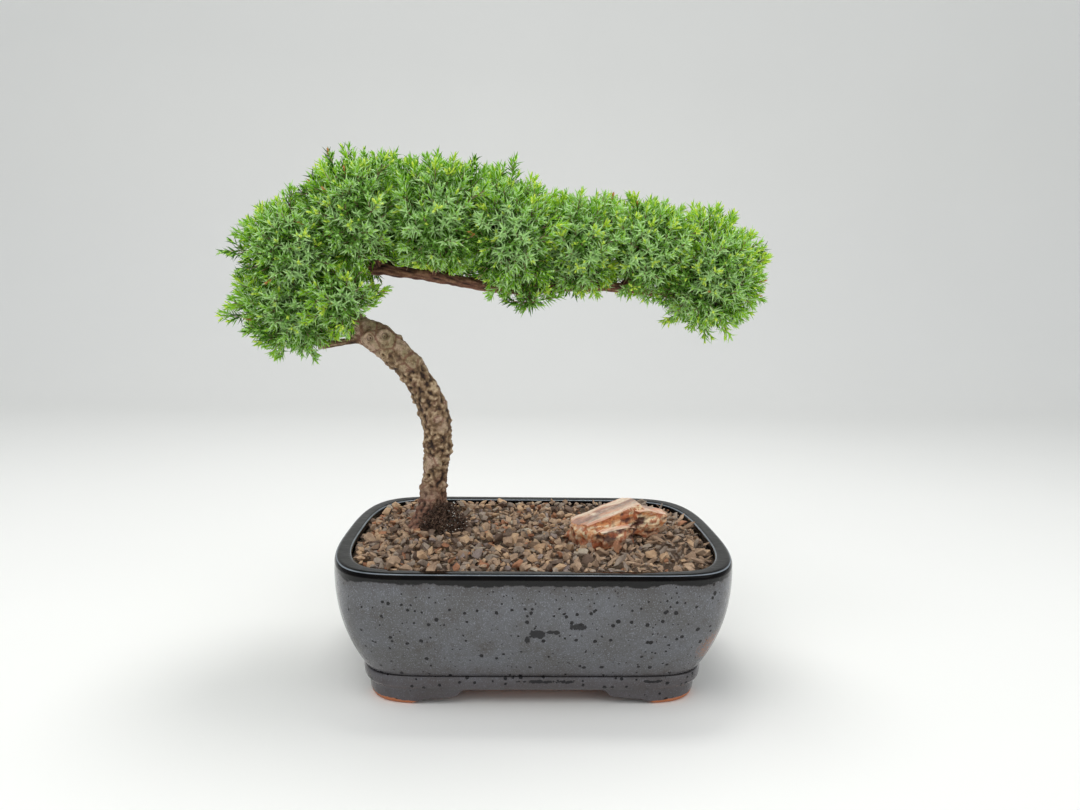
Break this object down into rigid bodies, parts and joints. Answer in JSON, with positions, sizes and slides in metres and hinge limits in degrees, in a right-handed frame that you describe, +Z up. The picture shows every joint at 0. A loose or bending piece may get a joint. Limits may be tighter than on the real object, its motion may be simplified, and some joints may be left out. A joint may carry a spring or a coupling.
{
  "type": "potted juniper bonsai",
  "caption": "Small juniper with a leaning bare trunk, one long level bough and clipped pads of needles, in an oblong glazed pot with cloud feet, gravel and a stone",
  "frame": {"origin": "bottom centre of the whole plant's bounding box, on the surface that the pot's feet stand on", "axes": "+X to the right along the pot's long side, towards the tip of the long bough; +Y to the back; +Z up"},
  "size_m": [0.355, 0.19, 0.329],
  "materials": {
    "glaze": "gloss",
    "gravel": "matte",
    "petrified_wood": "matte",
    "bark": "matte",
    "needles": "matte"
  },
  "bodies": {
    "root": {"accent_stone": "petrified_wood", "bough_crown_left_back": "bark", "bough_crown_left_front": "bark", "bough_crown_mid_back": "bark", "bough_crown_mid_front": "bark", "bough_crown_right_back": "bark", "bough_crown_right_front": "bark", "bough_long": "bark", "bough_low_front": "bark", "bough_low_left": "bark", "bough_middle_right": "bark", "bough_right": "bark", "bough_shoulder_back": "bark", "bough_shoulder_front": "bark", "bough_stub": "bark", "bough_under_bough": "bark", "foliage_crown_left_back": "needles", "foliage_crown_left_front": "needles", "foliage_crown_mid_back": "needles", "foliage_crown_mid_front": "needles", "foliage_crown_right_back": "needles", "foliage_crown_right_front": "needles", "foliage_low_front": "needles", "foliage_low_left": "needles", "foliage_middle_right": "needles", "foliage_right": "needles", "foliage_shoulder_back": "needles", "foliage_shoulder_front": "needles", "foliage_tip": "needles", "foliage_under_bough": "needles", "pot": "glaze", "soil": "gravel", "trunk": "bark"}
  },
  "joints": []
}
